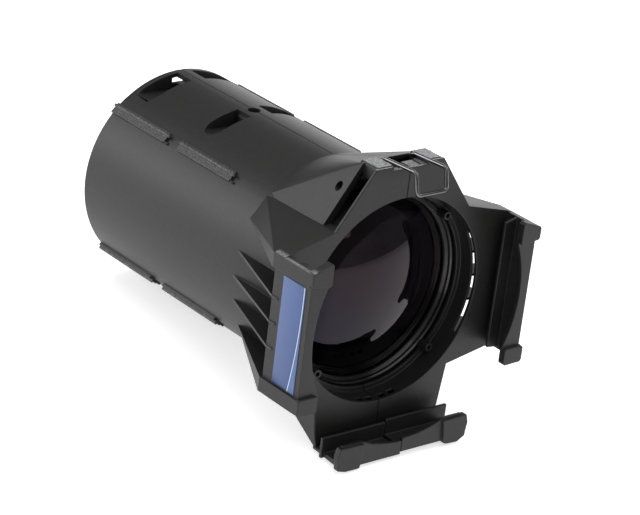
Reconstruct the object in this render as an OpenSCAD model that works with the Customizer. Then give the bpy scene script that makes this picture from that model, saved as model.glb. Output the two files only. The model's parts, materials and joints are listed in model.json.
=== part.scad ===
// Front lens tube of an ellipsoidal spotlight, in millimetres.
// The optical axis is the Y axis. The tube's front plate is at y = 0, the rear end is at +Y,
// and Z is up. Two moulded half shells meet on the plane x = 0 and trap the lenses.

/* [Barrel] */
// Outside radius of the barrel
barrel_r = 63.8; // [52:0.1:70]
// Thickness of the barrel wall
barrel_wall = 3; // [2.4:0.1:4]
// Length from the face of the front plate to the rear end
tube_len = 214; // [176:0.5:260]
// Gap between the two half shells at the seam
seam_gap = 0.3; // [0.1:0.05:0.6]
// Width of the bevel along the outside of the seam
seam_bevel = 0.9; // [0.4:0.1:2]

/* [Accessory holder] */
// Side of the square colour frame that slides in
frame_side = 159; // [150:0.5:200]
// Clearance round the colour frame on each side
frame_clear = 0.4; // [0.3:0.1:2]
// Thickness of the front plate
plate_t = 2; // [1.6:0.1:5]
// Depth of the narrow slot next to the plate
narrow_slot = 6; // [3:0.1:9]
// Thickness of the rib between the slots
rib_t = 2; // [1.5:0.1:4]
// Depth of the wide slot
wide_slot = 12.8; // [8:0.1:24]
// Thickness of the front wall
front_wall = 2.5; // [2:0.1:5]
// Thickness of the outer walls of the side arms
arm_wall = 1.6; // [1.4:0.1:4]
// How far the bands stand out from the side arms
band_proud = 1.5; // [1:0.1:4]
// Half the height of a side arm at its outer edge
arm_half_h = 41.8; // [36:0.1:46]
// Half the height of the recess between the bands
recess_half_h = 33; // [26:0.1:36]
// How far the middle of the colour frame lies below the optical axis
arm_drop = 1; // [0:0.1:2]
// Half the width of the top arm
top_half_w = 24.4; // [22:0.1:34]
// Half the width of the bottom arm
bottom_half_w = 44; // [36:0.1:46]
// Height of the bottom lips above the floor
bottom_lip_h = 11; // [8:0.1:16]
// How much lower the left half of the bottom arm stands
floor_step = 1.5; // [0:0.1:2]

/* [Hood] */
// Distance from the plate to the rear edge of the hood
hood_len = 67.5; // [50:0.5:90]
// Distance from the plate to the front edge of the top hood
hood_front = 12; // [8:0.5:16]
// Wall thickness of the hoods
hood_wall = 2.4; // [1.8:0.1:4]
// Distance from the plate to the rear end of the side arms
arm_back = 9.2; // [6:0.1:14]
// Distance between the cooling fins
fin_pitch = 15; // [12:0.5:16]
// Thickness of a cooling fin
fin_t = 1.6; // [1.2:0.1:3]

/* [Lenses] */
// Gap between the edge of a lens and the bore
lens_gap = 1.6; // [0.8:0.1:6]
// Thickness of a lens at its edge
lens_edge = 4.6; // [3:0.1:8]
// Radius of the curved face of the front lens
front_curve_r = 118; // [90:1:400]
// Radius of the curved face of the rear lens
rear_curve_r = 130; // [90:1:400]
// Distance from the plate to the front of the retaining ring
ring_y = 16.5; // [12:0.5:24]
// Length of the retaining ring
ring_len = 8; // [5:0.5:14]
// Length of the spacer between the lenses
spacer_len = 16; // [8:0.5:40]
// Thickness of a lens gasket
gasket_t = 1.4; // [0.8:0.1:3]
// How far the seats cover the edge of a lens
seat_cover = 3.6; // [2:0.1:6]
// Clearance between the trapped pieces
stack_clear = 0.3; // [0.1:0.05:0.6]

/* [Wire bail] */
// Radius of the wire
wire_r = 1.15; // [0.8:0.05:1.5]
// Running clearance of the wire in its bores
wire_clear = 0.05; // [0.02:0.01:0.1]
// Half the distance between the legs
bail_half_w = 10.7; // [8:0.1:12]
// Distance from the plate back to the pivot
pivot_y = 12.6; // [12:0.1:14]
// Distance from the plate forward to the cross bar
bar_y = 19.1; // [14:0.1:19.5]
// Drop of the cross bar below the top of the plate
bar_drop = 10; // [8:0.1:16]
// Length of the bent ends in the bores
pivot_grip = 6; // [3:0.5:9]

/* [Fasteners] */
// Radius of the screw shanks
screw_r = 1.1; // [0.9:0.05:1.5]
// Radius of the screw heads
head_r = 2.2; // [1.8:0.1:3]
// Length of a screw below its head
screw_len = 20; // [16:0.5:26]
// Radius of the brass thread inserts
insert_r = 2.2; // [1.8:0.1:3]
// Length of a thread insert
insert_len = 6; // [4:0.5:8]
// Radius of the screw bosses
boss_r = 4.2; // [3.6:0.1:6]
// Radius of the alignment pins
dowel_r = 1.5; // [1:0.1:2]
// Half the length of an alignment pin
dowel_half = 8; // [5:0.5:12]
// Radius of the hole for the focus knob
focus_hole_r = 3.8; // [3:0.1:6]
// Radius of the thread in the focus nut
focus_thread_r = 3.2; // [2.5:0.1:4]
// Distance from the plate to the focus hole
focus_y = 140; // [120:0.5:150]

/* [Hidden] */
$fn = 96;
eps = 0.05;
far = 300;

black = [0.09, 0.09, 0.095];

// Barrel
bore_r = barrel_r - barrel_wall;
lens_r = bore_r - lens_gap;
aperture_r = barrel_r - 0.1;
mouth_r = bore_r + 1.4;

// Colour frame holder
channel = frame_side / 2 + frame_clear;
arm_face = channel + arm_wall;
arm_out = arm_face + band_proud;
top_z = frame_side / 2 + 2.9;
floor_in = channel + arm_drop;
floor_out = floor_in + 3.7;
floor_rise = 2;
lip_half_w = bottom_half_w + 3.6;
arm_top = arm_half_h - arm_drop;
arm_low = arm_half_h + arm_drop;
rib_front = narrow_slot + rib_t;
lip_back = rib_front + wide_slot;
lip_front = lip_back + front_wall;
scallop_r = frame_side / 2 - 3.9;
corner_x = 0.56 * arm_out + 2.3;
corner_z = barrel_r * 0.773;

// Hoods
apex_a = 44;
rib_a = 45.5;
root_r = barrel_r - 0.8;
apex = [barrel_r * sin(apex_a), barrel_r * cos(apex_a)];
low_apex = [sqrt(barrel_r * barrel_r - recess_half_h * recess_half_h), recess_half_h];

// Side window between the plate and the barrel, and where the fins behind it start
window_half_h = recess_half_h - 2;
window_back = plate_t + 2.8;
fin_front = arm_back - 0.9;

// Finger tabs
tab_in = channel - 11;
tab_proud = 2.2;

// Notch that the wire bail lies in
notch_half = bail_half_w + wire_r + 0.35;
notch_floor = top_z - 2.1;
notch_back = 17;
pocket_floor = top_z - 6.6;
pocket_front = pivot_y - wire_r - 0.6;
block_back = 15.5;
block_half = top_half_w - 1;
block_top = top_z + 0.6;
pivot_z = top_z - 1.2;
bore_depth = pivot_grip + 1;

// Lens stack, front to rear
ring_back = ring_y + ring_len;
lens1_y = ring_back + stack_clear;
gasket1_y = lens1_y + lens_edge + stack_clear;
spacer_y = gasket1_y + gasket_t + stack_clear;
gasket2_y = spacer_y + spacer_len + stack_clear;
lens2_y = gasket2_y + gasket_t + stack_clear;
seat_y = lens2_y + lens_edge + stack_clear;
seat_t = 3;
seat_r = lens_r - seat_cover;
carrier_r = bore_r - stack_clear;
front_drop = cap_drop(front_curve_r);
rear_drop = cap_drop(rear_curve_r);

// Fasteners: [distance behind the plate, height], all along X
hood_screw = [19, barrel_r + 3.8];
tube_screw_z = bore_r - 4;
screw_places = [
  [hood_screw[0], hood_screw[1]],
  [hood_screw[0], -hood_screw[1]],
  [100, -tube_screw_z],
  [tube_len - 19.5, -tube_screw_z]
];
dowel_places = [[108, tube_screw_z], [170, tube_screw_z]];
head_seat = 12;
head_h = 2;
insert_x = seam_gap / 2 + 1;
nut_r = 7;
nut_t = 5;
nut_top = sqrt(bore_r * bore_r - nut_r * nut_r) - stack_clear;
cage_r = nut_r + stack_clear;

// How far a lens face falls away between the seat and the edge
function cap_drop(curve_r) =
  sqrt(curve_r * curve_r - seat_r * seat_r) - sqrt(curve_r * curve_r - lens_r * lens_r);

// A flat outline in X and Z, pushed from y0 back to y1
module along_y(y0, y1) {
  translate([0, y1, 0]) rotate([90, 0, 0]) linear_extrude(y1 - y0) children();
}

// A round bar along Y from y0 to y1
module rod_y(r, y0, y1) {
  translate([0, y0, 0]) rotate([-90, 0, 0]) cylinder(r = r, h = y1 - y0);
}

// A round bar along X from x0 to x1
module rod_x(r, x0, x1, y, z) {
  translate([x0, y, z]) rotate([0, 90, 0]) cylinder(r = r, h = x1 - x0);
}

// A flat outline in Y and Z, pushed from x0 across to x1
module across(x0, x1) {
  translate([x0, 0, 0]) rotate([90, 0, 90]) linear_extrude(x1 - x0) children();
}

// A closed shape between two outlines at y0 and y1
module loft(front, back, y0, y1) {
  hull() {
    along_y(y0, y0 + eps) polygon(front);
    along_y(y1 - eps, y1) polygon(back);
  }
}

// Everything below is drawn for the half with positive x; the other half is its mirror.

module plate_outline() {
  polygon([
    [0, top_z], [top_half_w, top_z], [corner_x, corner_z], [arm_out, arm_top],
    [arm_out, arm_top - 3], [arm_face, arm_top - 4], [arm_face, -arm_low + 4],
    [arm_out, -arm_low + 3], [arm_out, -arm_low], [corner_x, -corner_z],
    [bottom_half_w + 1.5, -floor_in + 6], [bottom_half_w, -floor_in],
    [bottom_half_w - 0.6, floor_rise - floor_out], [0, floor_rise - floor_out]
  ]);
}

// Block between the hood and the arm, beside the fins; end is the height of the arm's outer corner
module side_block(end) {
  band = end - arm_half_h + recess_half_h;
  nose = [corner_x - 6, corner_z + 0.5];
  loft(
    [[corner_x, corner_z], [arm_out, end], [arm_out, band], [root_r - 8, band], nose],
    [[apex[0] - 0.4, apex[1] - 0.4], [low_apex[0] - 0.4, recess_half_h], [low_apex[0] - 6, recess_half_h]],
    arm_back, hood_len);
  along_y(plate_t - eps, arm_back + eps)
    polygon([[corner_x, corner_z], [arm_out, end], [arm_out, band], [root_r - 8, band], nose]);
}

function arc_points(r, a) = [for (i = [0 : 12]) [r * sin(i * a / 12), r * cos(i * a / 12)]];

// Hollow hood behind the top or the bottom arm, from y0 back to the barrel
module hood(edge_half, edge_z, y0) {
  difference() {
    loft(
      [[0, edge_z], [edge_half, edge_z], [corner_x - 0.7, corner_z], [0, corner_z]],
      concat([[0, corner_z - 8]], arc_points(root_r, apex_a)),
      y0, hood_len);
    loft(
      [[-1, edge_z - hood_wall], [edge_half - hood_wall, edge_z - hood_wall],
       [corner_x - hood_wall - 1, corner_z - 6], [-1, corner_z - 6]],
      concat([[-1, corner_z - 12]], arc_points(root_r - hood_wall - 1, apex_a - 2)),
      y0 - eps, hood_len - 6);
  }
}

// Fin beside the barrel; its forward end runs along the outside of the arm's wall
module fin(z) {
  tip = sqrt(barrel_r * barrel_r - z * z) - 0.6;
  translate([0, 0, z - fin_t / 2]) linear_extrude(fin_t) polygon([
    [root_r - 6, fin_front], [channel + 0.8, fin_front], [channel + 0.8, plate_t + 1],
    [arm_face + 0.5, plate_t + 1], [arm_face + 0.5, arm_back - 1], [tip, hood_len - 1], [tip - 4, hood_len - 1]
  ]);
}

// Outer wall of the side arm, its bands, front wall, rib and tabs
module side_arm() {
  translate([channel, -lip_front, -arm_low])
    cube([arm_wall, lip_front + arm_back - 0.5, 2 * arm_half_h]);
  for (z = [-arm_low, arm_top + recess_half_h - arm_half_h])
    translate([channel, -lip_front, z])
      cube([arm_wall + band_proud, lip_front + arm_back, arm_half_h - recess_half_h]);
  difference() {
    translate([channel - 16, -lip_front, -arm_low])
      cube([16 + arm_wall, front_wall, 2 * arm_half_h]);
    rod_y(scallop_r, -lip_front - 1, -lip_back + 1);
    translate([0, -lip_front - 1, recess_half_h - 3]) cube([tab_in, front_wall + 2, 20]);
    translate([0, -lip_front - 1, -recess_half_h - 21]) cube([tab_in, front_wall + 2, 20]);
  }
  along_y(-lip_front - tab_proud, -lip_back) polygon([
    [tab_in, recess_half_h - 0.6], [tab_in + 1, recess_half_h - 1.6], [arm_out - 1, recess_half_h],
    [arm_out, recess_half_h + 1.2], [arm_out, arm_top - 0.6], [arm_out - 0.8, arm_top + 0.5],
    [tab_in + 1.4, arm_top + 4.6], [tab_in, arm_top + 3.2]
  ]);
  along_y(-lip_front - tab_proud, -lip_back) polygon([
    [tab_in, -recess_half_h - 1.4], [tab_in + 1, -recess_half_h - 0.6],
    [arm_out - 1, -recess_half_h - 0.6], [arm_out, -recess_half_h - 1.6],
    [arm_out, -arm_low + 0.4], [arm_out - 1.2, -arm_low - 0.9],
    [tab_in + 1.4, -arm_low - 1.3], [tab_in, -arm_low]
  ]);
  along_y(-rib_front, -narrow_slot) polygon([
    [channel - 8.3, arm_top - 2.7], [channel + eps, arm_top - 0.6], [channel + eps, -arm_low + 1.6],
    [channel - 8.3, -arm_low + 2.5]
  ]);
}

// Floor, rib and front lip of the bottom arm, with a finger tab at each end
module bottom_arm(low) {
  across(0, bottom_half_w) polygon([
    [-lip_front, -floor_in], [plate_t, -floor_in], [plate_t, floor_rise - floor_out],
    [-lip_front, -floor_out]
  ]);
  translate([0, -rib_front, -floor_out + 0.8])
    cube([bottom_half_w + 2, rib_t, floor_out - 0.8 - floor_in + bottom_lip_h - 1.4]);
  difference() {
    translate([0, -lip_front, -floor_out])
      cube([bottom_half_w, front_wall, floor_out - floor_in + bottom_lip_h]);
    rod_y(scallop_r + 0.3, -lip_front - 1, -lip_back + 1);
  }
  along_y(-lip_front - tab_proud + 0.6, -lip_back) polygon([
    [31, -floor_out - 0.8], [33, low / 2 - floor_out - 1.8], [lip_half_w - 6, low - floor_out - 2.4],
    [lip_half_w - 0.6, -floor_out + 0.6], [lip_half_w + 0.5, -floor_in + bottom_lip_h - 5.4],
    [lip_half_w - 1, -floor_in + bottom_lip_h - 0.4], [29, -floor_in + bottom_lip_h - 0.8]
  ]);
}

// Raised guide rib along the barrel between y0 and y1
module guide_rib(a, y0, y1) {
  rotate([0, 90 - a, 0]) {
    translate([barrel_r - 1.5, y0, -3.6]) cube([3.2, y1 - y0, 7.2]);
    translate([barrel_r - 1.5, y0 - 1.5, 0.4]) cube([4.6, y1 - y0 + 1.5, 1.7]);
    translate([barrel_r - 1.5, y0 - 3, -3.6]) cube([2.6, 4, 1.6]);
  }
}

// Cut for a cooling vent in the top of the barrel; its outer end is round
module vent(x0, x1, y0, y1) {
  floor_z = barrel_r * 0.84;
  mid = (y0 + y1) / 2;
  translate([x0, y0, floor_z]) cube([x1 - x0 - 8, y1 - y0, 20]);
  translate([x1 - 8.5, mid, floor_z]) scale([1.3, 1, 1]) cylinder(r = (y1 - y0) / 2, h = 20);
}

module vents() {
  vent(7.5, 34, 133, 146);
  vent(5, 36.8, tube_len - 18.5, tube_len - 4);
}

module solid_parts(low) {
  rod_y(barrel_r, 0, tube_len);
  difference() {
    along_y(0, plate_t) plate_outline();
    rod_y(aperture_r, -1, plate_t + 1);
  }
  side_block(arm_top);
  mirror([0, 0, 1]) side_block(arm_low);
  hood(top_half_w, top_z, hood_front);
  mirror([0, 0, 1]) hood(bottom_half_w - 0.9, floor_out - floor_rise + low - 0.2, plate_t / 2);
  for (z = [-fin_pitch, 0, fin_pitch]) fin(z);
  side_arm();
  translate([0, 0, -low]) bottom_arm(low);
  along_y(1.5, block_back) polygon([
    [bail_half_w, pocket_floor - 2], [block_half + 0.4, pocket_floor - 2], [block_half + 0.4, top_z - 0.6],
    [block_half - 0.6, block_top], [bail_half_w, block_top]
  ]);
  translate([0, eps, pocket_floor - 2]) cube([block_half, block_back - 2 * eps, 2]);
  for (p = low > 0 ? [[7, 4.8, eps, 4.2]] : [[0.6, 7.9, eps, 9.8], [9.6, 3, eps, pocket_front - 0.4]])
    translate([p[0], p[2], pocket_floor - 1]) cube([p[1], p[3], notch_floor - pocket_floor + 0.9]);
  for (a = [rib_a, 180 - rib_a]) guide_rib(a, 96, 148);
  for (a = [rib_a, 180 - rib_a]) guide_rib(a, 160, tube_len);
}

// What is cut from the outside, and the barrel's bore
module outer_cuts() {
  rod_y(bore_r, -1, tube_len + 1);
  rod_y(mouth_r, -1, ring_y - 2.5);
  translate([-1, -1, notch_floor]) cube([notch_half + 1, notch_back + 1, 20]);
  translate([-1, pocket_front, pocket_floor]) cube([notch_half + 1, notch_back - pocket_front, 20]);
  rod_x(wire_r + wire_clear, notch_half - 1, notch_half + bore_depth, pivot_y, pivot_z);
  translate([barrel_r - 22, plate_t + 0.4, -window_half_h])
    cube([23, window_back - plate_t - 0.4, 2 * window_half_h]);
  vents();
  translate([0, focus_y, 0]) cylinder(r = focus_hole_r, h = far);
  for (s = [-1, 1]) translate([0, -1, s * barrel_r]) rotate([0, 45, 0])
    translate([-seam_bevel / 2, hood_len, -seam_bevel / 2]) cube([seam_bevel, far, seam_bevel]);
  for (x = [2.6, 9.6]) translate([x, plate_t + 0.5, -far]) cube([4.4, 3.6, far - bore_r + 2]);
}

// What stands inside the bore: seats, bosses and the cage of the focus nut
module inner_parts() {
  intersection() {
    rod_y(bore_r + 0.5, 1, tube_len - 1);
    union() {
      difference() {
        rod_y(bore_r + 1, seat_y, seat_y + seat_t);
        rod_y(seat_r, seat_y - 1, seat_y + seat_t + 1);
        translate([0, seat_y - rear_drop, 0]) rotate([-90, 0, 0])
          cylinder(r1 = 2 * lens_r - seat_r, r2 = seat_r, h = 2 * rear_drop);
      }
      difference() {
        rod_y(bore_r + 1, ring_y - 2.5, ring_y - stack_clear);
        rod_y(bore_r - 1.6, ring_y - 4, ring_y);
      }
      difference() {
        union() {
          translate([0, 131, 0.8 * barrel_r]) cube([barrel_r, 17, 20]);
          translate([8.2, tube_len - 20.5, 0.8 * barrel_r]) cube([barrel_r, 19, 20]);
          translate([0, tube_len - 20.5, 0.8 * barrel_r]) cube([12, 19, 6]);
        }
        vents();
      }
      for (p = [screw_places[2], screw_places[3]]) rod_x(boss_r, 0, 26, p[0], p[1]);
      for (p = dowel_places) rod_x(boss_r - 0.4, 0, 26, p[0], p[1]);
      translate([0, focus_y, nut_top - nut_t - 2.4]) cylinder(r = cage_r + 2, h = nut_t + 6);
      for (a = [45, -45]) rotate([0, -a, 0]) translate([bore_r - 2.4, 0, 0])
        rod_y(2.7, ring_y - 8, ring_y - 1);
    }
  }
  intersection() {
    union() for (i = [0, 1]) rod_x(boss_r, 0, i == 0 ? 34 : 40, screw_places[i][0], screw_places[i][1]);
    union() {
      loft([[0, top_z - 1], [top_half_w - 0.5, top_z - 1], [corner_x - 1, corner_z], [0, corner_z]],
        concat([[0, 0]], arc_points(root_r - 0.5, apex_a)), hood_front + 0.5, hood_len);
      translate([0, 0, -far]) cube([bottom_half_w - 3.4, far, far - barrel_r + 2]);
    }
  }
}

// What is cut from the inner parts as well
module inner_cuts() {
  for (a = [45, -45]) rotate([0, -a, 0]) translate([bore_r - 2.4, 0, 0])
    rod_y(1.4, 0, ring_y - 2);
  translate([0, focus_y, 0]) cylinder(r = focus_hole_r, h = far);
  translate([0, focus_y, nut_top - nut_t - stack_clear]) cylinder(r = cage_r, h = nut_t + 2 * stack_clear);
  for (p = dowel_places) rod_x(dowel_r + 0.05, -1, dowel_half + 0.3, p[0], p[1]);
}

module half_shell(low) {
  difference() {
    union() {
      difference() {
        solid_parts(low);
        outer_cuts();
      }
      inner_parts();
    }
    inner_cuts();
    translate([-far + seam_gap / 2, -far / 2, -far / 2]) cube([far, 2 * far, far]);
  }
}

module shell_left() {
  color(black) difference() {
    mirror([1, 0, 0]) half_shell(floor_step);
    for (p = screw_places) {
      rod_x(screw_r + 0.2, -head_seat - 1, 0, p[0], p[1]);
      rod_x(head_r + 0.3, -far, -head_seat, p[0], p[1]);
    }
  }
}

module shell_right() {
  color(black) difference() {
    half_shell(0);
    for (p = screw_places) {
      rod_x(insert_r + 0.05, 0, insert_x + insert_len + 0.2, p[0], p[1]);
      rod_x(screw_r + 0.2, 0, screw_len - head_seat + 1.5, p[0], p[1]);
    }
  }
}

module lens_retaining_ring() {
  color([0.12, 0.12, 0.13]) translate([0, ring_back, 0]) rotate([90, 0, 0])
    rotate_extrude($fn = 128) polygon([
      [seat_r, front_drop], [lens_r, 0], [carrier_r, 0], [carrier_r, ring_len],
      [carrier_r - 1.4, ring_len],
      [carrier_r - 1.4, ring_len - 1.6], [carrier_r - 2.8, ring_len - 1.6],
      [carrier_r - 2.8, ring_len - 3.4], [seat_r, front_drop + 1.6]
    ]);
}

// A lens with one flat face at y = 0 and its curved face towards +Y
module lens(curve_r) {
  sag = curve_r - sqrt(curve_r * curve_r - lens_r * lens_r);
  rotate([-90, 0, 0]) intersection() {
    cylinder(r = lens_r, h = lens_edge + sag, $fn = 128);
    translate([0, 0, lens_edge + sag - curve_r]) sphere(r = curve_r, $fn = 128);
  }
}

module front_lens() {
  color([0.35, 0.3, 0.4, 0.5])
    translate([0, lens1_y + lens_edge, 0]) mirror([0, 1, 0]) lens(front_curve_r);
}

module rear_lens() {
  color([0.35, 0.3, 0.4, 0.5]) translate([0, lens2_y, 0]) lens(rear_curve_r);
}

module gasket(y) {
  color([0.15, 0.15, 0.15]) difference() {
    rod_y(carrier_r, y, y + gasket_t);
    rod_y(lens_r - 2.4, y - 1, y + gasket_t + 1);
  }
}

module front_lens_gasket() { gasket(gasket1_y); }

module rear_lens_gasket() { gasket(gasket2_y); }

module lens_spacer() {
  color([0.1, 0.1, 0.1]) difference() {
    rod_y(carrier_r, spacer_y, spacer_y + spacer_len);
    rod_y(carrier_r - 2.2, spacer_y - 1, spacer_y + spacer_len + 1);
  }
}

// Straight wire from point a to point b in one plane of x
module leg(x, a, b) {
  d = b - a;
  translate([x, a[0], a[1]]) rotate([-atan2(d[0], d[1]), 0, 0]) cylinder(r = wire_r, h = norm(d), $fn = 32);
}

module wire_bail() {
  knee = [-bar_y + 2.9, top_z + 2.5];
  foot = [-bar_y, top_z - bar_drop];
  pivot = [pivot_y, pivot_z];
  rise = [pivot_y - 2.4, top_z + 0.9];
  color([0.75, 0.75, 0.77]) union() {
    rod_x(wire_r, -bail_half_w, bail_half_w, foot[0], foot[1]);
    for (s = [-1, 1]) {
      x = s * bail_half_w;
      leg(x, pivot, rise);
      leg(x, rise, knee);
      leg(x, knee, foot);
      for (p = [pivot, rise, knee, foot])
        translate([x, p[0], p[1]]) sphere(r = wire_r + 0.05, $fn = 32);
      mirror([s < 0 ? 1 : 0, 0, 0])
        rod_x(wire_r, bail_half_w, notch_half + pivot_grip, pivot[0], pivot[1]);
    }
  }
}

module side_label() {
  color([0.16, 0.3, 0.6])
    translate([-arm_face - 0.35, -lip_front + 4.2, -recess_half_h - arm_drop + 1])
      cube([0.35, lip_front - 4.2, 2 * recess_half_h - 2.4]);
}

module focus_nut() {
  color([0.72, 0.6, 0.32]) difference() {
    translate([0, focus_y, nut_top - nut_t]) cylinder(r = nut_r, h = nut_t, $fn = 6);
    translate([0, focus_y, nut_top - nut_t - 1]) cylinder(r = focus_thread_r, h = nut_t + 2);
  }
}

module shell_screw(p) {
  color([0.55, 0.55, 0.57]) difference() {
    union() {
      rod_x(screw_r, -head_seat, screw_len - head_seat, p[0], p[1]);
      rod_x(head_r, -head_seat - head_h, -head_seat, p[0], p[1]);
    }
    translate([-head_seat - head_h - 1, p[0], p[1]]) rotate([0, 90, 0]) cylinder(r = 1.1, h = 2.2, $fn = 6);
  }
}

module thread_insert(p) {
  color([0.76, 0.62, 0.3]) difference() {
    rod_x(insert_r, insert_x, insert_x + insert_len, p[0], p[1]);
    rod_x(screw_r + 0.05, 0, insert_x + insert_len + 1, p[0], p[1]);
  }
}

module alignment_pin(p) {
  color([0.6, 0.6, 0.62]) rod_x(dowel_r, -dowel_half, dowel_half, p[0], p[1]);
}

module screw_top_front() { shell_screw(screw_places[0]); }
module screw_bottom_front() { shell_screw(screw_places[1]); }
module screw_bottom_middle() { shell_screw(screw_places[2]); }
module screw_bottom_rear() { shell_screw(screw_places[3]); }
module insert_top_front() { thread_insert(screw_places[0]); }
module insert_bottom_front() { thread_insert(screw_places[1]); }
module insert_bottom_middle() { thread_insert(screw_places[2]); }
module insert_bottom_rear() { thread_insert(screw_places[3]); }
module pin_top_middle() { alignment_pin(dowel_places[0]); }
module pin_top_rear() { alignment_pin(dowel_places[1]); }

shell_left();
shell_right();
lens_retaining_ring();
front_lens();
front_lens_gasket();
lens_spacer();
rear_lens_gasket();
rear_lens();
wire_bail();
side_label();
focus_nut();
screw_top_front();
screw_bottom_front();
screw_bottom_middle();
screw_bottom_rear();
insert_top_front();
insert_bottom_front();
insert_bottom_middle();
insert_bottom_rear();
pin_top_middle();
pin_top_rear();
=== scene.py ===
"""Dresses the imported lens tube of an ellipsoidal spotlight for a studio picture.

The tube is two moulded half shells that trap a pair of lenses. The CAD frame gives every size and
place; each class below turns one sub-assembly into finished pieces that ride on the frame's bodies.
"""
import json
import logging
import math
from dataclasses import dataclass, field
from enum import Enum
from typing import Sequence

import bmesh
import bpy
import numpy as np
from mathutils import Matrix, Vector


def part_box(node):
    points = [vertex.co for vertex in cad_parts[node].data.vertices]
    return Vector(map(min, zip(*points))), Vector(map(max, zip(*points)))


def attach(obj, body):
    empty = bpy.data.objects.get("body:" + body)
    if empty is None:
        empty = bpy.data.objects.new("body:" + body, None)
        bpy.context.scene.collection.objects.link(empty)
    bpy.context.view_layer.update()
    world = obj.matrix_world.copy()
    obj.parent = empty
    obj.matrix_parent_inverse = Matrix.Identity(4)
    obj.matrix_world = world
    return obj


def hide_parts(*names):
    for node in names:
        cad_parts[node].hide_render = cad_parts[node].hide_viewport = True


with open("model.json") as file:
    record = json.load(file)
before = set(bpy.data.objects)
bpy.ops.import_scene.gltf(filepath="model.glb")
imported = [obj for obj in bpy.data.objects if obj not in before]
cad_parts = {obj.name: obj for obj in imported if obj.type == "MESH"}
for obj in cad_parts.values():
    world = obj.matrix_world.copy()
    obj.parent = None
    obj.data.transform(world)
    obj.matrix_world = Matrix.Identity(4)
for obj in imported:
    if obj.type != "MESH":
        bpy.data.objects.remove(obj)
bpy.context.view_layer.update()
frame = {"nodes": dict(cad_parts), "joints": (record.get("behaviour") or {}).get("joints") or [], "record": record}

log = logging.getLogger("lens_tube")
MM = 0.001
Colour = tuple[float, float, float, float]
Span = tuple[float, float]

# The stretch of a noise pattern's values that most of it lies in, taken narrow and wide.
NARROW: Span = (0.35, 0.65)
WIDE: Span = (0.3, 0.7)


class Body(Enum):
    """The two rigid bodies of the frame."""

    TUBE = "tube"
    BAIL = "bail"


class Slot(Enum):
    """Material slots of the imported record."""

    SHELL = "shell"
    RING = "ring"
    GLASS = "lens_glass"
    GASKET = "gasket"
    SPACER = "spacer"
    WIRE = "wire"
    LABEL = "label"
    BRASS = "brass"
    SCREW = "screw"


# --------------------------------------------------------------------------- finishes


def scaled(colour: Colour, share: float) -> Colour:
    """A colour made darker or lighter, with its alpha left at 1."""
    return tuple(share * c for c in colour[:3]) + (1.0,)


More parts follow.
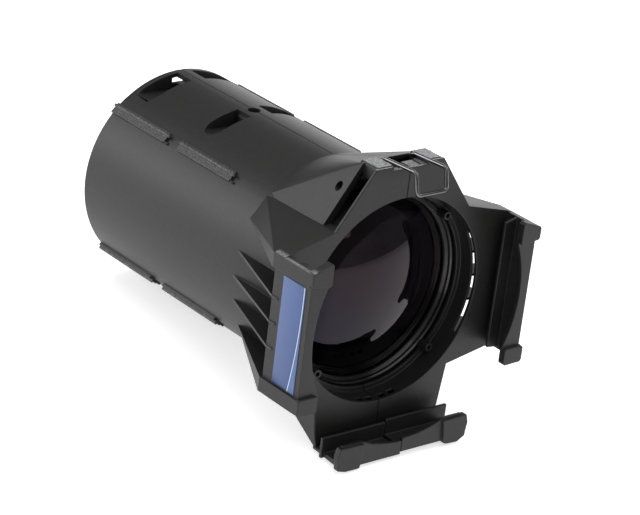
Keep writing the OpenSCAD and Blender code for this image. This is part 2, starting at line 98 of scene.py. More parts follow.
class Sketch:
    """A small node tree under construction for one material."""

    # Where a Mix node's colour sockets stand among its inputs and outputs.
    MIX_FACTOR, MIX_FIRST, MIX_SECOND, MIX_RESULT = 0, 6, 7, 2

    def __init__(self, name: str) -> None:
        """Starts an empty material.

        Args:
            name: the material's name.
        """
        self.material = bpy.data.materials.new(name)
        self.material.use_nodes = True
        self.tree = self.material.node_tree
        self.tree.nodes.clear()
        self.output = self.tree.nodes.new("ShaderNodeOutputMaterial")
        self.place = self.node("ShaderNodeTexCoord").outputs["Object"]

    def node(self, kind: str, inputs: dict | None = None, **settings) -> bpy.types.Node:
        """Adds a node.

        Args:
            kind: the node's class name.
            inputs: socket name or index to a value or to another node's output.
            settings: attributes of the node.

        Returns:
            The new node.
        """
        made = self.tree.nodes.new(kind)
        for key, value in settings.items():
            setattr(made, key, value)
        for key, value in (inputs or {}).items():
            if isinstance(value, bpy.types.NodeSocket):
                self.tree.links.new(value, made.inputs[key])
            else:
                made.inputs[key].default_value = value
        return made

    def noise(self, scale: float, detail: float = 3.0, rough: float = 0.5) -> bpy.types.NodeSocket:
        """A noise pattern in object space, as its factor socket."""
        made = self.node("ShaderNodeTexNoise", {"Vector": self.place, "Scale": scale, "Detail": detail,
                                                "Roughness": rough})
        return made.outputs["Fac"]

    def remap(self, value: bpy.types.NodeSocket, low: float, high: float, to_low: float,
              to_high: float) -> bpy.types.NodeSocket:
        """Maps a value from one range to another, clamped."""
        made = self.node("ShaderNodeMapRange", {"Value": value, "From Min": low, "From Max": high,
                                                "To Min": to_low, "To Max": to_high})
        return made.outputs["Result"]

    def rising(self, value: bpy.types.NodeSocket, span: Span, top: float = 1.0) -> bpy.types.NodeSocket:
        """Rises from 0 to a top value across a span."""
        return self.remap(value, *span, 0.0, top)

    def falling(self, value: bpy.types.NodeSocket, span: Span) -> bpy.types.NodeSocket:
        """Falls from 1 to 0 across a span."""
        return self.remap(value, *span, 1.0, 0.0)

    def axes(self, vector: bpy.types.NodeSocket) -> list[bpy.types.NodeSocket]:
        """The X, Y and Z of a vector."""
        made = self.node("ShaderNodeSeparateXYZ", {"Vector": vector})
        return [made.outputs[k] for k in "XYZ"]

    def maths(self, operation: str, *values) -> bpy.types.NodeSocket:
        """One arithmetic step on sockets or numbers."""
        made = self.node("ShaderNodeMath", dict(enumerate(values)), operation=operation)
        return made.outputs[0]

    def blend(self, factor: bpy.types.NodeSocket, first, second) -> bpy.types.NodeSocket:
        """A mix of two colours by a factor socket."""
        sockets = {self.MIX_FACTOR: factor, self.MIX_FIRST: first, self.MIX_SECOND: second}
        made = self.node("ShaderNodeMix", sockets, data_type="RGBA")
        return made.outputs[self.MIX_RESULT]

    def bump(self, height: bpy.types.NodeSocket, depth: float,
             strength: float = 1.0) -> bpy.types.NodeSocket:
        """A bump from a height socket.

        Args:
            height: the height pattern, from 0 to 1.
            depth: its depth in metres.
            strength: how much of it shows.

        Returns:
            The bumped normal.
        """
        inputs = {"Height": height, "Distance": depth, "Strength": strength}
        return self.node("ShaderNodeBump", inputs).outputs["Normal"]

    def finish(self, **inputs) -> bpy.types.Material:
        """Closes the tree with a Principled shader.

        Args:
            inputs: socket names, with _ for a space, to values or sockets.

        Returns:
            The finished material.
        """
        shader = self.node("ShaderNodeBsdfPrincipled", {k.replace("_", " "): v for k, v in inputs.items()})
        self.tree.links.new(shader.outputs["BSDF"], self.output.inputs["Surface"])
        return self.material


@dataclass(frozen=True)
class MouldedBlack:
    """Black satin moulding with a fine even grain, frosted where mould and tools have rubbed it, with a painted
    highlight along the top front edge of the arms' tips.

    Each span is where the frost or the painted highlight fades in or out along its axis.
    """

    name: str = "moulded_black"
    dark: Colour = (0.0095, 0.0095, 0.0092, 1.0)
    light: Colour = (0.0135, 0.0135, 0.013, 1.0)
    # Light grey of the frost, also used for the painted highlight on the arms' tips.
    frost_and_highlight: Colour = (0.42, 0.425, 0.43, 1.0)
    shine: Span = (0.4, 0.46)
    frost_dulling: float = 0.2
    gloss: float = 0.36
    tone_scale: float = 420.0
    grain_scale: float = 1700.0
    grain_depth: float = 0.03 * MM
    grain_strength: float = 0.45
    frosted_and_highlit: bool = True
    upward: Span = (0.8, 0.93)
    block_height: Span = (81.9 * MM, 82.1 * MM)
    block_back: Span = (15.4 * MM, 15.8 * MM)
    pad_height: Span = (80.0 * MM, 80.2 * MM)
    pad_back: Span = (10.6 * MM, 10.9 * MM)
    pad_frost: float = 0.8
    # The arms' tips get a painted highlight in the frost's light grey, not frost.
    arm_height: Span = (38.5 * MM, 39.1 * MM)
    arm_side: Span = (78.6 * MM, 81 * MM)
    arm_back: Span = (8.6 * MM, 9.2 * MM)
    arm_tip_highlight: float = 0.6
    rail_radius: Span = (65.0 * MM, 65.9 * MM)
    rail_start: Span = (88 * MM, 89 * MM)
    rail_frost: float = 0.6
    speck_scale: float = 900.0
    speck_span: Span = (0.4, 0.62)
    speck_cover: Span = (0.25, 1.0)
    scuff_scale: float = 1100.0
    scuff_span: Span = (0.5, 0.66)
    scuff_cover: Span = (0.04, 1.0)

    def frost_and_highlight_mask(self, s: Sketch) -> bpy.types.NodeSocket:
        """Where the moulding is frosted, on the blocks and pads of the notch and on the rails, and where a
        highlight is painted on the arms' tips.

        Args:
            s: the material's sketch.

        Returns:
            The mask, from 0 to 1.
        """
        x, y, z = s.axes(s.place)
        facing = s.axes(s.node("ShaderNodeTexCoord").outputs["Normal"])[2]
        block = s.maths("MULTIPLY", s.rising(z, self.block_height), s.falling(y, self.block_back))
        pad = s.maths("MULTIPLY", s.rising(z, self.pad_height, self.pad_frost), s.falling(y, self.pad_back))
        # Painted highlight along the top front edge of the arms' tips.
        end = s.maths("MULTIPLY", s.rising(z, self.arm_height),
                      s.rising(s.maths("ABSOLUTE", x), self.arm_side, self.arm_tip_highlight))
        end = s.maths("MULTIPLY", end, s.falling(y, self.arm_back))
        tops = s.maths("MULTIPLY", s.rising(facing, self.upward),
                       s.maths("MAXIMUM", s.maths("MAXIMUM", block, pad), end))
        out = s.maths("SQRT", s.maths("ADD", s.maths("MULTIPLY", x, x), s.maths("MULTIPLY", z, z)))
        rail = s.maths("MULTIPLY", s.rising(out, self.rail_radius),
                       s.rising(y, self.rail_start, self.rail_frost))
        speck = s.remap(s.noise(self.speck_scale, 4.0, 0.8), *self.speck_span, *self.speck_cover)
        scuff = s.remap(s.noise(self.scuff_scale, 4.0, 0.8), *self.scuff_span, *self.scuff_cover)
        return s.maths("MAXIMUM", s.maths("MULTIPLY", tops, speck), s.maths("MULTIPLY", rail, scuff))

    def material(self) -> bpy.types.Material:
        """Builds the node material."""
        s = Sketch(self.name)
        tone = s.noise(self.tone_scale, 3.0, 0.6)
        grain = s.noise(self.grain_scale, 2.0, 0.6)
        body = s.blend(s.rising(tone, NARROW), self.dark, self.light)
        shine = s.remap(grain, *WIDE, *self.shine)
        # Frost, and the painted highlight on the arms' tips, blended over the black.
        if self.frosted_and_highlit:
            mask = self.frost_and_highlight_mask(s)
            body = s.blend(mask, body, self.frost_and_highlight)
            shine = s.maths("ADD", shine, s.maths("MULTIPLY", mask, self.frost_dulling))
        return s.finish(
            Base_Color=body, Roughness=shine, Specular_IOR_Level=self.gloss,
            Normal=s.bump(grain, self.grain_depth, self.grain_strength),
        )


@dataclass(frozen=True)
class CoatedGlass:
    """Optical glass with a purple anti-reflection coating, tinted almost black as painted shade for the dark
    inside of the tube.
    """

    name: str = "coated_glass"
    # Painted shade: the glass passes only a few per cent of the light, so the tube's inside looks dark through the
    # lenses.
    painted_shade_tint: Colour = (0.07, 0.055, 0.07, 1.0)
    index: float = 1.52
    drift_scale: float = 14.0
    gleam: Colour = (0.46, 0.34, 0.37, 1.0)
    deep_gleam: Colour = (0.34, 0.31, 0.43, 1.0)

    def material(self) -> bpy.types.Material:
        """Builds the node material: the coating's colour drifts a little across the lens."""
        s = Sketch(self.name)
        coat = s.blend(s.rising(s.noise(self.drift_scale, 2.0), NARROW), self.gleam, self.deep_gleam)
        return s.finish(
            Base_Color=self.painted_shade_tint, Roughness=0.0, IOR=self.index, Transmission_Weight=1.0, Specular_Tint=coat,
        )


@dataclass(frozen=True)
class DrawnMetal:
    """Bright metal with fine scratches, for wire, screws and inserts."""

    name: str
    colour: Colour
    shine: tuple[float, float] = (0.16, 0.32)
    scratch_scale: float = 700.0
    scratch_depth: float = 0.02 * MM
    scratch_strength: float = 0.4
    tone_scale: float = 60.0
    deep_share: float = 0.8

    def material(self) -> bpy.types.Material:
        """Builds the node material."""
        s = Sketch(self.name)
        scratch = s.noise(self.scratch_scale, 4.0, 0.7)
        tone = s.noise(self.tone_scale, 2.0)
        return s.finish(
            Base_Color=s.blend(s.rising(tone, NARROW), self.colour, scaled(self.colour, self.deep_share)),
            Metallic=1.0, Roughness=s.remap(scratch, *WIDE, *self.shine),
            Normal=s.bump(scratch, self.scratch_depth, self.scratch_strength),
        )


@dataclass(frozen=True)
class SoftRubber:
    """Matt silicone."""

    name: str = "silicone"
    colour: Colour = (0.02, 0.02, 0.02, 1.0)
    dust_share: float = 1.8
    dust_span: Span = (0.4, 0.7)
    shine: Span = (0.62, 0.8)
    bloom_scale: float = 240.0
    bloom_depth: float = 0.03 * MM

    def material(self) -> bpy.types.Material:
        """Builds the node material."""
        s = Sketch(self.name)
        bloom = s.noise(self.bloom_scale, 4.0)
        dusty = scaled(self.colour, self.dust_share)
        return s.finish(Base_Color=s.blend(s.rising(bloom, self.dust_span), self.colour, dusty),
                        Roughness=s.remap(bloom, *WIDE, *self.shine), Normal=s.bump(bloom, self.bloom_depth))


@dataclass(frozen=True)
class PrintedFilm:
    """Blue printed film with one light curved line, measured from the label's own corner."""

    name: str = "printed_film"
    low: Vector = field(default_factory=lambda: Vector((0, 0, 0)))
    high: Vector = field(default_factory=lambda: Vector((1, 1, 1)))
    top_blue: Colour = (0.055, 0.106, 0.27, 1.0)
    base_blue: Colour = (0.03, 0.068, 0.2, 1.0)
    edge_blue: Colour = (0.07, 0.13, 0.31, 1.0)
    line: Colour = (0.62, 0.7, 0.8, 1.0)
    bow: float = 6.6 * MM
    crest: float = 0.85
    line_width: float = 0.5 * MM
    line_inset: float = 0.8 * MM
    line_core: float = 0.7
    line_fringe: float = 1.3
    shine: Span = (0.3, 0.42)
    ink_scale: float = 900.0
    ink_depth: float = 0.01 * MM
    ink_strength: float = 0.3

    def material(self) -> bpy.types.Material:
        """Builds the node material: the line bows forward near the top of the label."""
        s = Sketch(self.name)
        _, y, z = s.axes(s.place)
        along = s.rising(z, (self.low.z, self.high.z))
        away = s.maths("SUBTRACT", along, self.crest)
        path = s.maths("ADD", s.maths("MULTIPLY", s.maths("MULTIPLY", away, away), self.bow),
                       self.low.y + self.line_inset)
        past = s.maths("SUBTRACT", y, path)
        half = 0.5 * self.line_width
        mask = s.falling(s.maths("ABSOLUTE", past), (half * self.line_core, half * self.line_fringe))
        ahead = s.falling(past, (-half, 0.0))
        ink = s.noise(self.ink_scale, 2.0)
        shade = s.blend(along, self.base_blue, self.top_blue)
        shade = s.blend(ahead, shade, self.edge_blue)
        return s.finish(Base_Color=s.blend(mask, shade, self.line),
                        Roughness=s.remap(ink, *WIDE, *self.shine),
                        Normal=s.bump(ink, self.ink_depth, self.ink_strength))


# --------------------------------------------------------------------------- mesh tools

# A length in metres that stands in for zero, the radius that counts as on the axis, a width wider
# than any piece, and the largest half angle whose tangent is taken.
TINY = 1e-9
AXIS_RADIUS = 1e-7
ROOMY = 1.0
STEEP = 1.56


def merged_copy(node: str, name: str, weld: float = 0.01 * MM, flat_angle: float = 1.0) -> bpy.types.Object:
    """A welded copy of a CAD node's mesh, with its flat faces joined.

    Args:
        node: the CAD node.
        name: the new object's name.
        weld: vertices nearer than this are merged.
        flat_angle: faces that meet at less than this, in degrees, become one.

    Returns:
        The new object, which is linked to the scene and untransformed.
    """
    mesh = frame["nodes"][node].data.copy()
    mesh.name = name
    mesh.materials.clear()
    build = bmesh.new()
    build.from_mesh(mesh)
    for layer in list(build.loops.layers.uv):
        build.loops.layers.uv.remove(layer)
    bmesh.ops.remove_doubles(build, verts=build.verts, dist=weld)
    bmesh.ops.dissolve_degenerate(build, edges=build.edges, dist=weld)
    bmesh.ops.dissolve_limit(build, angle_limit=math.radians(flat_angle), verts=build.verts,
                             edges=build.edges)
    build.to_mesh(mesh)
    build.free()
    for key in ("custom_normal", "sharp_edge", "sharp_face"):
        if key in mesh.attributes:
            mesh.attributes.remove(mesh.attributes[key])
    return linked(bpy.data.objects.new(name, mesh))


def linked(obj: bpy.types.Object) -> bpy.types.Object:
    """Links an object to the scene and returns it."""
    bpy.context.scene.collection.objects.link(obj)
    return obj


def settled(obj: bpy.types.Object) -> bpy.types.Object:
    """Applies an object's modifiers and leaves a plain mesh at the origin.

    Args:
        obj: the object with live modifiers.

    Returns:
        The same object.
    """
    graph = bpy.context.evaluated_depsgraph_get()
    graph.update()
    mesh = bpy.data.meshes.new_from_object(obj.evaluated_get(graph))
    obj.modifiers.clear()
    old = obj.data
    obj.data = mesh
    if isinstance(old, bpy.types.Mesh):
        bpy.data.meshes.remove(old)
    return obj


def smooth(obj: bpy.types.Object, angle: float) -> None:
    """Shades an object's mesh smooth, with edges sharper than an angle left crisp."""
    obj.data.polygons.foreach_set("use_smooth", [True] * len(obj.data.polygons))
    obj.data.set_sharp_from_angle(angle=math.radians(angle))


def reach(points: np.ndarray, start: np.ndarray, end: np.ndarray) -> np.ndarray:
    """Distances from points to line segments.

    Args:
        points: one point, or one for each segment.
        start: the segments' first ends, or one end.
        end: their other ends.

    Returns:
        One distance for each pair.
    """
    line = end - start
    length = np.maximum((line * line).sum(-1), TINY**2)
    share = np.clip(((points - start) * line).sum(-1) / length, 0.0, 1.0)
    return np.linalg.norm(points - start - share[..., None] * line, axis=-1)


@dataclass(frozen=True)
class EdgeRounder:
    """Rounds a moulding's edges, as far as the faces beside each edge leave room.

    Edges sharper than the hard angle are rounded, those between the crease angle and the hard angle
    are only marked sharp, and what is still sharper than the blend angle afterwards stays crisp.
    """

    radius: float
    hard_angle: float = 24.0
    crease_angle: float = 9.0
    blend_angle: float = 55.0
    share: float = 0.42
    segments: int = 2

    def room_at_corner(self, edge: bmesh.types.BMEdge, other: bmesh.types.BMEdge, both: bool) -> float:
        """How wide an edge can be rounded beside an edge that it shares a corner with.

        Args:
            edge: the edge.
            other: its neighbour in one face.
            both: whether the neighbour is rounded too.

        Returns:
            The width in metres.
        """
        corner = next((v for v in edge.verts if v in other.verts), None)
        if corner is None or other is edge:
            return ROOMY
        one = edge.other_vert(corner).co - corner.co
        two = other.other_vert(corner).co - corner.co
        turn = one.angle(two, math.pi)
        if both:
            return min(one.length, two.length) * math.tan(min(0.5 * turn, STEEP))
        return two.length * math.sin(turn)

    def weigh(self, build: bmesh.types.BMesh) -> None:
        """Writes each hard edge's bevel weight and marks the soft creases sharp.

        Args:
            build: the mesh under construction.
        """
        weight = build.edges.layers.float.new("bevel_weight_edge")
        turn = {e: math.degrees(e.calc_face_angle(0.0)) for e in build.edges if len(e.link_faces) == 2}
        room = {e: self.radius / self.share for e, angle in turn.items() if angle > self.hard_angle}
        for e, angle in turn.items():
            e.smooth = not self.crease_angle < angle <= self.hard_angle
        for face in build.faces:
            edges = list(face.edges)
            start, end = (np.array([e.verts[k].co[:] for e in edges]) for k in (0, 1))
            ends = np.array([[v.index for v in e.verts] for e in edges])
            for e in edges:
                if e not in room:
                    continue
                a, b = (np.array(v.co[:]) for v in e.verts)
                touching = np.isin(ends, [v.index for v in e.verts]).any(axis=1)
                p, q = start[~touching], end[~touching]
                if len(p):
                    gaps = np.minimum.reduce([reach(p, a, b), reach(q, a, b), reach(a, p, q), reach(b, p, q)])
                    room[e] = min(room[e], float(gaps.min()))
                for k in np.nonzero(touching)[0]:
                    room[e] = min(room[e], self.room_at_corner(e, edges[k], edges[k] in room))
        for e, width in room.items():
            e[weight] = min(1.0, self.share * width / self.radius)

    def apply(self, obj: bpy.types.Object) -> None:
        """Rounds an object's edges and settles its shading.

        Args:
            obj: the piece, with its mesh merged.
        """
        build = bmesh.new()
        build.from_mesh(obj.data)
        build.verts.index_update()
        self.weigh(build)
        for face in build.faces:
            face.smooth = True
        build.to_mesh(obj.data)
        build.free()
        bevel = obj.modifiers.new("round_edges", "BEVEL")
        bevel.width = self.radius
        bevel.segments = self.segments
        bevel.limit_method = "WEIGHT"
        bevel.use_clamp_overlap = False
        settled(obj)
        self.crisp(obj)
        weigh = obj.modifiers.new("flat_faces", "WEIGHTED_NORMAL")
        weigh.keep_sharp = True
        settled(obj)

    def crisp(self, obj: bpy.types.Object) -> None:
        """Adds what is still sharper than the blend angle to the marked creases."""
        build = bmesh.new()
        build.from_mesh(obj.data)
        for e in build.edges:
            if len(e.link_faces) == 2 and math.degrees(e.calc_face_angle(0.0)) > self.blend_angle:
                e.smooth = False
        for layer in list(build.edges.layers.float):
            build.edges.layers.float.remove(layer)
        build.to_mesh(obj.data)
        build.free()


def revolved(name: str, profile: Sequence[tuple[float, float]], steps: int) -> bpy.types.Object:
    """A closed solid of revolution round the Y axis.

    Args:
        name: the object's name.
        profile: (radius, y) points in metres; a radius of 0 closes on the axis.
        steps: faces round the axis.

    Returns:
        The new object, with its faces pointing outwards.
    """
    build = bmesh.new()
    rings = []
    for radius, y in profile:
        if radius < AXIS_RADIUS:
            rings.append([build.verts.new((0.0, y, 0.0))])
            continue
        turn = [2 * math.pi * i / steps for i in range(steps)]
        rings.append([build.verts.new((radius * math.sin(a), y, radius * math.cos(a))) for a in turn])
    pairs = list(zip(rings, rings[1:]))
    if len(rings[0]) > 1 and len(rings[-1]) > 1:
        pairs.append((rings[-1], rings[0]))
    for a, b in pairs:
        for i in range(steps):
            j = (i + 1) % steps
            corners = [a[i % len(a)], a[j % len(a)], b[j % len(b)], b[i % len(b)]]
            face = [v for k, v in enumerate(corners) if v not in corners[:k]]
            if len(face) > 2:
                build.faces.new(face)
    bmesh.ops.recalc_face_normals(build, faces=build.faces)
    mesh = bpy.data.meshes.new(name)
    build.to_mesh(mesh)
    build.free()
    return linked(bpy.data.objects.new(name, mesh))


def dress(obj: bpy.types.Object, material: bpy.types.Material) -> None:
    """Gives an object one material."""
    obj.data.materials.clear()
    obj.data.materials.append(material)


def hand_over(obj: bpy.types.Object, body: Body, nodes: Sequence[str]) -> None:
    """Makes a piece ride on its body in place of its CAD nodes, and reports it.

    Args:
        obj: the finished piece.
        body: the body that carries it.
        nodes: the CAD nodes it stands for.
    """
    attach(obj, body.value)
    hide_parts(*nodes)
    log.info("%s: %d faces, rides on %s", obj.name, len(obj.data.polygons), body.value)


# --------------------------------------------------------------------------- sub-assemblies


@dataclass
class HalfShells:
    """The two moulded half shells, with every edge rounded as a moulding has it."""

    edges: EdgeRounder = EdgeRounder(0.5 * MM)
    finish: MouldedBlack = MouldedBlack()

    def build(self) -> list[bpy.types.Object]:
        """Makes both shells from the frame's own shapes.

        Returns:
            The two pieces.
        """
        material = self.finish.material()
        made = []
        for side in ("left", "right"):
            shell = merged_copy(f"shell_{side}", f"moulded_shell_{side}")
            self.edges.apply(shell)
            dress(shell, material)
            hand_over(shell, Body.TUBE, [f"shell_{side}"])
            made.append(shell)
        return made


@dataclass
class Lens:
    """One plano-convex lens, cut from the same numbers as its CAD node's box."""

    node: str
    domed_front: bool
    edge: float = 4.6 * MM
    chamfer: float = 0.4 * MM
    flat_share: float = 0.5
    rings: int = 40
    steps: int = 160
    crisp_angle: float = 25.0

    def build(self, material: bpy.types.Material) -> bpy.types.Object:
        """Makes the lens with a finely divided dome.

        Args:
            material: the glass.

        Returns:
            The piece.
        """
        low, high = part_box(self.node)
        radius = 0.5 * (high.x - low.x)
        flat_y, edge_y, tip_y = low.y, low.y + self.edge, high.y
        if self.domed_front:
            flat_y, edge_y, tip_y = high.y, high.y - self.edge, low.y
        sag = abs(tip_y - edge_y)
        curve = (radius**2 + sag**2) / (2 * sag)
        away = 1.0 if tip_y > edge_y else -1.0
        profile = [(0.0, flat_y), (radius * self.flat_share, flat_y), (radius - self.chamfer, flat_y),
                   (radius, flat_y + away * self.chamfer), (radius, edge_y)]
        for i in range(1, self.rings + 1):
            r = radius * (1 - i / self.rings)
            profile.append((r, tip_y - away * (curve - math.sqrt(curve**2 - r**2))))
        lens = revolved(f"glass_{self.node}", profile, self.steps)
        smooth(lens, self.crisp_angle)
        dress(lens, material)
        hand_over(lens, Body.TUBE, [self.node])
        return lens


@dataclass
class LensSeats:
    """Retaining ring, spacer and gaskets round the lenses."""

    steps: int = 192
    edges: EdgeRounder = EdgeRounder(0.3 * MM)
    seat_radius: float = 55.6 * MM
    lens_radius: float = 59.2 * MM
    seat_rise: tuple[float, float] = (2.0 * MM, 3.6 * MM)
    step_width: float = 1.4 * MM
    step_rise: tuple[float, float] = (4.6 * MM, 6.4 * MM)
    ridge_height: float = 0.4 * MM
    ridge_points: int = 8
    face_ridges: int = 3
    step_ridges: int = 2
    crisp_angle: float = 60.0
    ring: MouldedBlack = MouldedBlack(
        name="ring_black", dark=(0.004, 0.004, 0.004, 1.0), light=(0.006, 0.006, 0.006, 1.0),
        shine=(0.12, 0.2), gloss=0.6, frosted_and_highlit=False)
    anodised: MouldedBlack = MouldedBlack(name="spacer_black", shine=(0.3, 0.42), frosted_and_highlit=False)
    rubber: SoftRubber = SoftRubber()

    def ridged(self, start: tuple[float, float], end: tuple[float, float],
               count: int) -> list[tuple[float, float]]:
        """A ridged stretch of a profile.

        Args:
            start: its first (radius, y) point.
            end: its last point.
            count: how many ridges stand on it, each rising towards the front.

        Returns:
            The points, with the same number for each ridge.
        """
        points = []
        last = self.ridge_points * count
        for i in range(last + 1):
            share = i / last
            lift = 0.5 * self.ridge_height * (1 - math.cos(2 * math.pi * count * share))
            radius, y = (a + (b - a) * share for a, b in zip(start, end))
            points.append((radius, y - lift))
        return points

    def retaining_ring(self) -> bpy.types.Object:
        """The ring in front of the lens, with turned ridges on its face and its step."""
        low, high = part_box("lens_retaining_ring")
        outer = 0.5 * (high.x - low.x)
        back = high.y
        inner, step = outer - 2 * self.step_width, outer - self.step_width
        profile = [(outer, back), (self.lens_radius, back), (self.seat_radius, back - self.seat_rise[0])]
        profile += self.ridged((self.seat_radius, back - self.seat_rise[1]),
                               (inner, back - self.step_rise[0]), self.face_ridges)
        profile += self.ridged((inner, back - self.step_rise[1]),
                               (step, back - self.step_rise[1]), self.step_ridges)
        profile += [(step, low.y), (outer, low.y)]
        ring = revolved("turned_lens_retaining_ring", profile, self.steps)
        smooth(ring, self.crisp_angle)
        dress(ring, self.ring.material())
        hand_over(ring, Body.TUBE, ["lens_retaining_ring"])
        return ring

    def build(self) -> list[bpy.types.Object]:
        """Makes the ring, then each other piece as a rounded copy of its CAD node."""
        parts = (
            ("lens_spacer", Slot.SPACER, self.anodised.material()),
            ("front_lens_gasket", Slot.GASKET, self.rubber.material()),
            ("rear_lens_gasket", Slot.GASKET, bpy.data.materials[self.rubber.name]),
        )
        made = [self.retaining_ring()]
        for node, slot, material in parts:
            piece = merged_copy(node, f"turned_{node}")
            self.edges.apply(piece)
            dress(piece, material)
            hand_over(piece, Body.TUBE, [node])
            made.append(piece)
        return made


@dataclass
class WireBail:
    """The sprung wire that keeps frames in: one wire bent at ten corners."""

    wire_radius: float = 1.15 * MM
    slack: float = 0.05 * MM
    leg_half: float = 10.7 * MM
    bend_radius: float = 2.4 * MM
    rise: Vector = field(default_factory=lambda: Vector((0.0, -2.4, 2.1)) * MM)
    knee_back: float = 2.9 * MM
    bend_steps: int = 7
    wire_sides: int = 20
    crisp_angle: float = 50.0
    # Painted shade: the wire's chrome is given a dark grey, so it shows its surroundings darkly and the lamps as
    # thin bright lines.
    finish: DrawnMetal = DrawnMetal("plated_wire", (0.15, 0.15, 0.155, 1.0), (0.12, 0.2))

    def path(self) -> list[Vector]:
        """The wire's corner points, from one bent end to the other."""
        low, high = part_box("wire_bail")
        off = self.wire_radius + self.slack
        hinge = Vector(frame["joints"][0]["pos_m"])
        foot = Vector((0.0, low.y + off, low.z + off))
        knee = Vector((0.0, foot.y + self.knee_back, high.z - off))
        half = [(high.x, hinge)] + [(self.leg_half, p) for p in (hinge, hinge + self.rise, knee, foot)]
        right = [Vector((x, p.y, p.z)) for x, p in half]
        return right + [Vector((-p.x, p.y, p.z)) for p in reversed(right)]

    def tree(self, material: bpy.types.Material) -> bpy.types.NodeTree:
        """Geometry Nodes that round a path's corners and sweep the wire along it.

        Args:
            material: the wire's finish.

        Returns:
            The node group, with inputs for the wire's radius and its bend radius.
        """
        group = bpy.data.node_groups.new("bent_wire", "GeometryNodeTree")
        face = group.interface
        face.new_socket("Geometry", in_out="INPUT", socket_type="NodeSocketGeometry")
        face.new_socket("Wire radius", in_out="INPUT", socket_type="NodeSocketFloat")
        face.new_socket("Bend radius", in_out="INPUT", socket_type="NodeSocketFloat")
        face.new_socket("Geometry", in_out="OUTPUT", socket_type="NodeSocketGeometry")
        new, link = group.nodes.new, group.links.new
        start, end = new("NodeGroupInput"), new("NodeGroupOutput")
        curve = new("GeometryNodeMeshToCurve")
        fillet = new("GeometryNodeFilletCurve")
        fillet.mode = "POLY"
        fillet.inputs["Count"].default_value = self.bend_steps
        fillet.inputs["Limit Radius"].default_value = True
        circle = new("GeometryNodeCurvePrimitiveCircle")
        circle.inputs["Resolution"].default_value = self.wire_sides
        sweep = new("GeometryNodeCurveToMesh")
        sweep.inputs["Fill Caps"].default_value = True
        shade = new("GeometryNodeSetShadeSmooth")
        real = new("GeometryNodeRealizeInstances")
        paint = new("GeometryNodeSetMaterial")
        paint.inputs["Material"].default_value = material
        link(start.outputs["Geometry"], curve.inputs[0])
        link(curve.outputs[0], fillet.inputs["Curve"])
        link(start.outputs["Bend radius"], fillet.inputs["Radius"])
        link(start.outputs["Wire radius"], circle.inputs["Radius"])
        link(fillet.outputs[0], sweep.inputs["Curve"])
        link(circle.outputs["Curve"], sweep.inputs["Profile Curve"])
        link(sweep.outputs[0], shade.inputs[0])
        link(shade.outputs[0], real.inputs[0])
        link(real.outputs[0], paint.inputs["Geometry"])
        link(paint.outputs[0], end.inputs[0])
        return group

    def build(self) -> bpy.types.Object:
        """Makes the bail as one plain mesh."""
        material = self.finish.material()
        points = self.path()
        mesh = bpy.data.meshes.new("bail_path")
        mesh.from_pydata([p[:] for p in points], [(i, i + 1) for i in range(len(points) - 1)], [])
        bail = linked(bpy.data.objects.new("bent_wire_bail", mesh))
        group = self.tree(material)
        live = bail.modifiers.new("sweep", "NODES")
        live.node_group = group
        values = {"Wire radius": self.wire_radius, "Bend radius": self.bend_radius}
        for item in group.interface.items_tree:
            if item.item_type == "SOCKET" and item.name in values:
                live[item.identifier] = values[item.name]
        settled(bail)
        smooth(bail, self.crisp_angle)
        hand_over(bail, Body.BAIL, ["wire_bail"])
        return bail


@dataclass
class SideLabel:
    """The printed label in the recess of the left arm."""

    rounding: float = 0.12 * MM
    rounding_steps: int = 2
    crisp_angle: float = 30.0

    def build(self) -> bpy.types.Object:
        """Makes the label with rounded edges."""
        low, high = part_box("side_label")
        label = merged_copy("side_label", "printed_label")
        bevel = label.modifiers.new("round_label", "BEVEL")
        bevel.width = self.rounding
        bevel.segments = self.rounding_steps
        settled(label)
        smooth(label, self.crisp_angle)
        dress(label, PrintedFilm(low=low, high=high).material())
        hand_over(label, Body.TUBE, ["side_label"])
        return label


@dataclass
class Hardware:
    """Screws, inserts, pins and the focus nut."""

    zinc: DrawnMetal = DrawnMetal("zinc_plate", (0.55, 0.55, 0.57, 1.0))
    brass: DrawnMetal = DrawnMetal("turned_brass", (0.72, 0.55, 0.27, 1.0))

    def build(self) -> list[bpy.types.Object]:
        """Dresses the small metal pieces, whose CAD shapes stand as they are."""
        finishes = {Slot.SCREW.value: self.zinc.material(), Slot.BRASS.value: self.brass.material()}
        slots = {p["node"]: p["material_slot"] for p in frame["record"]["subparts"]}
        made = []
        for node, slot in slots.items():
            if slot in finishes:
                obj = frame["nodes"][node]
                dress(obj, finishes[slot])
                made.append(obj)
                log.info("%s: finished in %s", node, slot)
        return made


# --------------------------------------------------------------------------- studio


@dataclass(frozen=True)
class Lamp:
    """One soft square lamp: where it stands in metres, the length of its side and its power in watts."""

    name: str
    place: tuple[float, float, float]
    size: float
    power: float


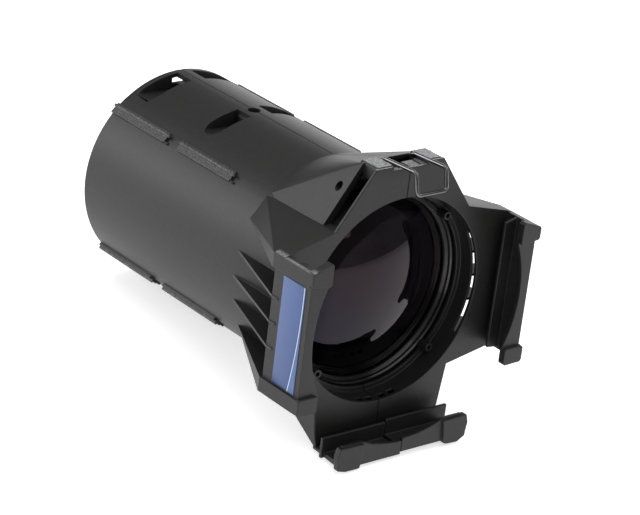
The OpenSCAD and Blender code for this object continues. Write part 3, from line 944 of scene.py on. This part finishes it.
@dataclass(frozen=True)
class Studio:
    """Pale floor, soft light and the camera. Angles are in degrees."""

    aim: Vector = field(default_factory=lambda: Vector((-16.35, 47.25, 9.99)) * MM)
    azimuth: float = -41.353
    elevation: float = 22.983
    roll: float = 7.14
    distance: float = 1.5411
    lens_mm: float = 153.02
    sensor_mm: float = 36.0
    near_clip: float = 0.05
    floor_size: float = 8.0
    floor_glow: float = 0.62
    floor_roughness: float = 0.6
    floor_cloud: float = 3.0
    floor_shades: tuple[Colour, Colour] = ((0.86, 0.86, 0.86, 1.0), (0.9, 0.9, 0.9, 1.0))
    white: Colour = (1.0, 1.0, 1.0, 1.0)
    room_light: float = 0.25
    front_foot: tuple[float, float] = (-24.9 * MM, -88.6 * MM)
    rear_foot: tuple[float, float] = (214.0 * MM, -63.9 * MM)
    lamps: tuple[Lamp, ...] = (
        Lamp("overhead", (0.0, 0.2, 2.6), 3.0, 44.0),
        Lamp("left_rear", (-1.7, 1.9, 1.0), 1.5, 32.0),
        Lamp("left", (-1.6, 0.1, 0.9), 0.9, 3.0),
        Lamp("front", (-0.2, -2.0, 1.3), 2.0, 15.0),
        Lamp("right", (1.5, -0.3, 0.9), 1.0, 7.0),
        Lamp("right_rear", (2.1, 2.0, 0.35), 1.2, 7.0),
    )

    def camera(self) -> bpy.types.Object:
        """Makes the camera from its angles round the aim point."""
        az, el, roll = (math.radians(a) for a in (self.azimuth, self.elevation, self.roll))
        ahead = Vector((-math.sin(az) * math.cos(el), math.cos(az) * math.cos(el), -math.sin(el)))
        level = Vector((math.cos(az), math.sin(az), 0.0))
        upright = level.cross(ahead)
        right = level * math.cos(roll) + upright * math.sin(roll)
        up = right.cross(ahead)
        data = bpy.data.cameras.new("camera")
        data.lens = self.lens_mm
        data.sensor_width = self.sensor_mm
        data.clip_start = self.near_clip
        cam = linked(bpy.data.objects.new("camera", data))
        turn = Matrix((right, up, -ahead)).transposed()
        cam.matrix_world = Matrix.Translation(self.aim - ahead * self.distance) @ turn.to_4x4()
        bpy.context.scene.camera = cam
        return cam

    def floor(self) -> bpy.types.Object:
        """Makes the floor that the bottom arm and the barrel's rear end rest on."""
        y0, z0 = self.front_foot
        y1, z1 = self.rear_foot
        slope = math.atan2(z1 - z0, y1 - y0)
        size = self.floor_size
        along = Vector((0.0, math.cos(slope), math.sin(slope)))
        centre = Vector((0.0, y0, z0))
        corners = [centre + Vector((x, 0, 0)) + along * y for x, y in
                   ((-size, -size), (size, -size), (size, size), (-size, size))]
        mesh = bpy.data.meshes.new("floor")
        mesh.from_pydata([c[:] for c in corners], [], [(0, 1, 2, 3)])
        floor = linked(bpy.data.objects.new("floor", mesh))
        s = Sketch("pale_floor")
        dress(floor, s.finish(Base_Color=s.blend(s.noise(self.floor_cloud), *self.floor_shades),
                              Roughness=self.floor_roughness, Emission_Color=self.white,
                              Emission_Strength=self.floor_glow))
        return floor

    def light(self, lamp: Lamp) -> None:
        """Hangs one lamp so that it faces the aim point."""
        data = bpy.data.lights.new(lamp.name, "AREA")
        data.shape = "SQUARE"
        data.size = lamp.size
        data.energy = lamp.power
        hung = linked(bpy.data.objects.new(lamp.name, data))
        spot = Vector(lamp.place)
        turn = (self.aim - spot).to_track_quat("-Z", "Y").to_matrix().to_4x4()
        hung.matrix_world = Matrix.Translation(spot) @ turn

    def build(self) -> None:
        """Sets up floor, lamps, surroundings and camera."""
        self.floor()
        for lamp in self.lamps:
            self.light(lamp)
        world = bpy.data.worlds.new("studio")
        bpy.context.scene.world = world
        world.use_nodes = True
        room = world.node_tree.nodes["Background"].inputs
        room["Color"].default_value = self.white
        room["Strength"].default_value = self.room_light
        bpy.context.scene.view_settings.view_transform = "Standard"
        self.camera()


def main() -> None:
    """Builds every sub-assembly in order, then the studio."""
    logging.basicConfig(level=logging.INFO, format="%(name)s: %(message)s")
    HalfShells().build()
    glass = CoatedGlass().material()
    Lens("front_lens", domed_front=True).build(glass)
    Lens("rear_lens", domed_front=False).build(glass)
    LensSeats().build()
    WireBail().build()
    SideLabel().build()
    Hardware().build()
    Studio().build()


if __name__ == "__main__":
    main()
